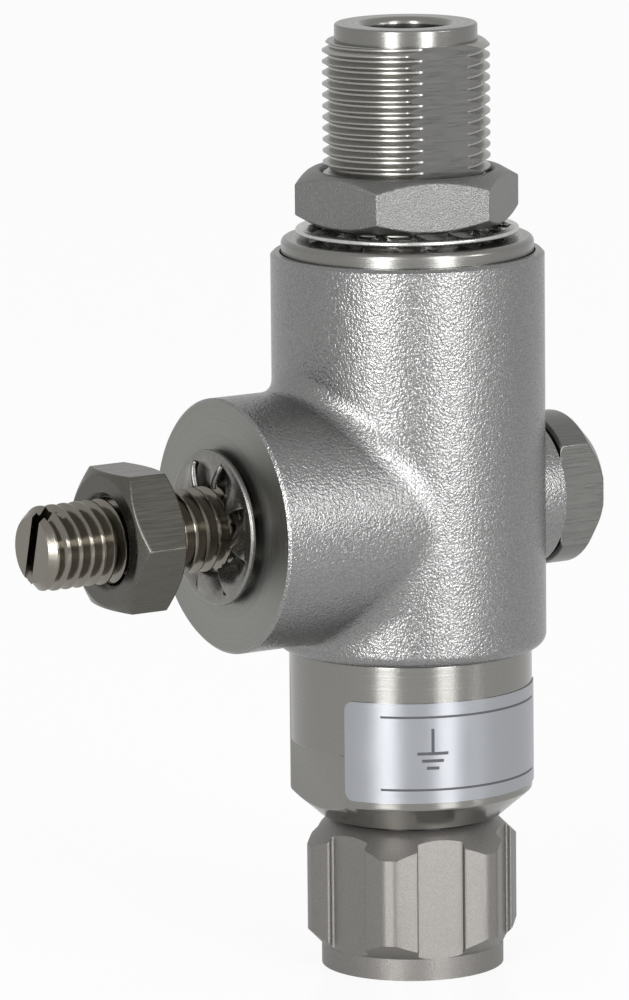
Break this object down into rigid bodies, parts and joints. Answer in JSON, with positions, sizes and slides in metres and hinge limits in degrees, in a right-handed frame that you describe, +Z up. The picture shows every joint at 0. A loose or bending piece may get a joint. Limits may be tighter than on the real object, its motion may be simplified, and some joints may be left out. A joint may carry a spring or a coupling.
{
  "type": "coaxial lightning arrestor",
  "caption": "Coaxial lightning arrestor: threaded jack on top, swivel plug below, earth stud with nut and toothed washer, and a screw cap with two flats over a replaceable gas tube.",
  "frame": {"origin": "centre of the plug mouth, on the lower face of the coupling nut", "axes": "+Z up along the coaxial line towards the jack, -X along the earth stud, +X towards the screw cap, -Y towards the label"},
  "size_m": [0.0602, 0.026, 0.0908],
  "materials": {
    "blasted_body": "nickel plated, grit blasted",
    "turned_nickel": "nickel plated, fine turned",
    "nut_nickel": "nickel plated, fine blasted flats",
    "satin_nickel": "nickel plated, satin",
    "dark_stainless": "stainless, brushed flats",
    "cap_stainless": "stainless, plain turned",
    "spring_steel": "bright spring steel",
    "white_insulator": "waxy white",
    "gold_contact": "gold plated",
    "red_gasket": "soft silicone",
    "silver_label": "metallised film",
    "black_seal": "matt",
    "white_ceramic": "glazed ceramic"
  },
  "bodies": {
    "arrestor": {"main_body": "blasted_body", "jack_shell": "turned_nickel", "jack_insulator": "white_insulator", "jack_contact": "gold_contact", "panel_washer": "spring_steel", "line_conductor": "gold_contact", "plug_body": "turned_nickel", "plug_insulator": "white_insulator", "plug_pin": "gold_contact", "plug_gasket": "red_gasket", "retaining_ring": "spring_steel", "rating_label": "silver_label", "earth_stud": "dark_stainless", "earth_washer": "spring_steel"},
    "coupling_nut": {"coupling_nut": "satin_nickel"},
    "panel_nut": {"panel_nut": "nut_nickel"},
    "earth_nut": {"earth_nut": "dark_stainless"},
    "screw_cap": {"tube_cap": "cap_stainless", "cap_seal": "black_seal", "cap_spring": "spring_steel", "tube_ceramic": "white_ceramic", "tube_inner_electrode": "turned_nickel", "tube_outer_electrode": "turned_nickel"}
  },
  "joints": [
    {"name": "coupling_nut_turn", "type": "hinge", "parent": "arrestor", "child": "coupling_nut", "pos_m": [0, 0, 0.007], "axis": [0, 0, 1], "continuous": true},
    {"name": "panel_nut_travel", "type": "slide", "parent": "arrestor", "child": "panel_nut", "axis": [0, 0, 1], "range_m": [0, 0.0192]},
    {"name": "earth_nut_travel", "type": "slide", "parent": "arrestor", "child": "earth_nut", "axis": [-1, 0, 0], "range_m": [-0.0055, 0.0132]},
    {"name": "screw_cap_travel", "type": "slide", "parent": "arrestor", "child": "screw_cap", "axis": [1, 0, 0], "range_m": [0, 0.02]}
  ]
}
